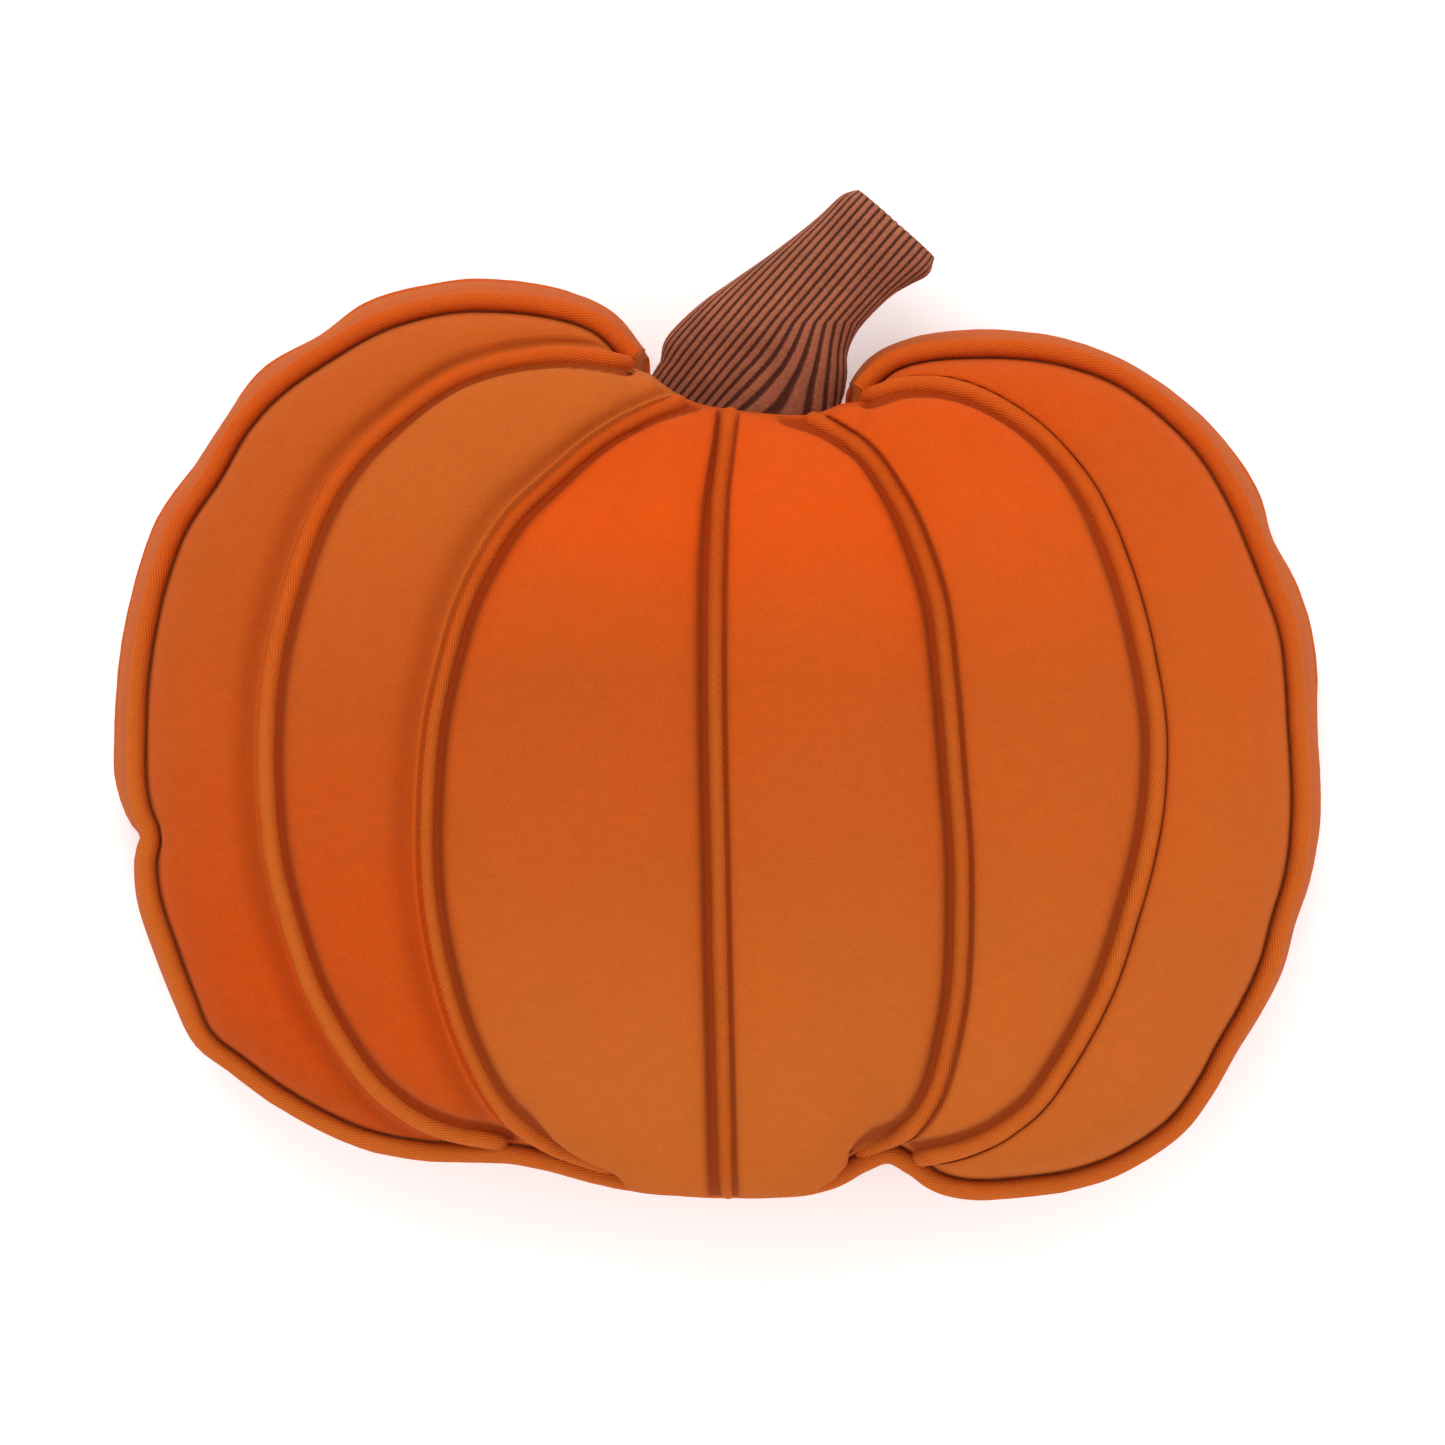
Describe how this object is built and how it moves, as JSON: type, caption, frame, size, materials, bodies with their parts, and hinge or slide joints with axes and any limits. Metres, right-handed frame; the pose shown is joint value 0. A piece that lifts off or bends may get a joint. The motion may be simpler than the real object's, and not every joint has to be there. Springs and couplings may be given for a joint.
{
  "type": "pumpkin cushion",
  "caption": "Filled velvet cushion in the shape of a pumpkin, with piped seams and edges, a boxing strip and a stuffed corduroy stem.",
  "frame": {"origin": "middle of the flat face of the back that the cushion rests on", "axes": "+Z out of the front face, +Y towards the stem, +X to the right seen from the front"},
  "size_m": [0.4122, 0.3397, 0.1149],
  "materials": {
    "velvet": "short soft nap with a faint sheen",
    "piping": "velvet cut on the bias over a cord, finely ribbed",
    "corduroy": "mid-wale ribs, matt"
  },
  "bodies": {
    "root": {"cushion_body": "velvet", "front_edge_piping": "piping", "back_edge_piping": "piping", "seam_piping_far_left": "piping", "seam_piping_left": "piping", "seam_piping_middle": "piping", "seam_piping_right": "piping", "seam_piping_far_right": "piping", "stem": "corduroy"}
  },
  "joints": []
}
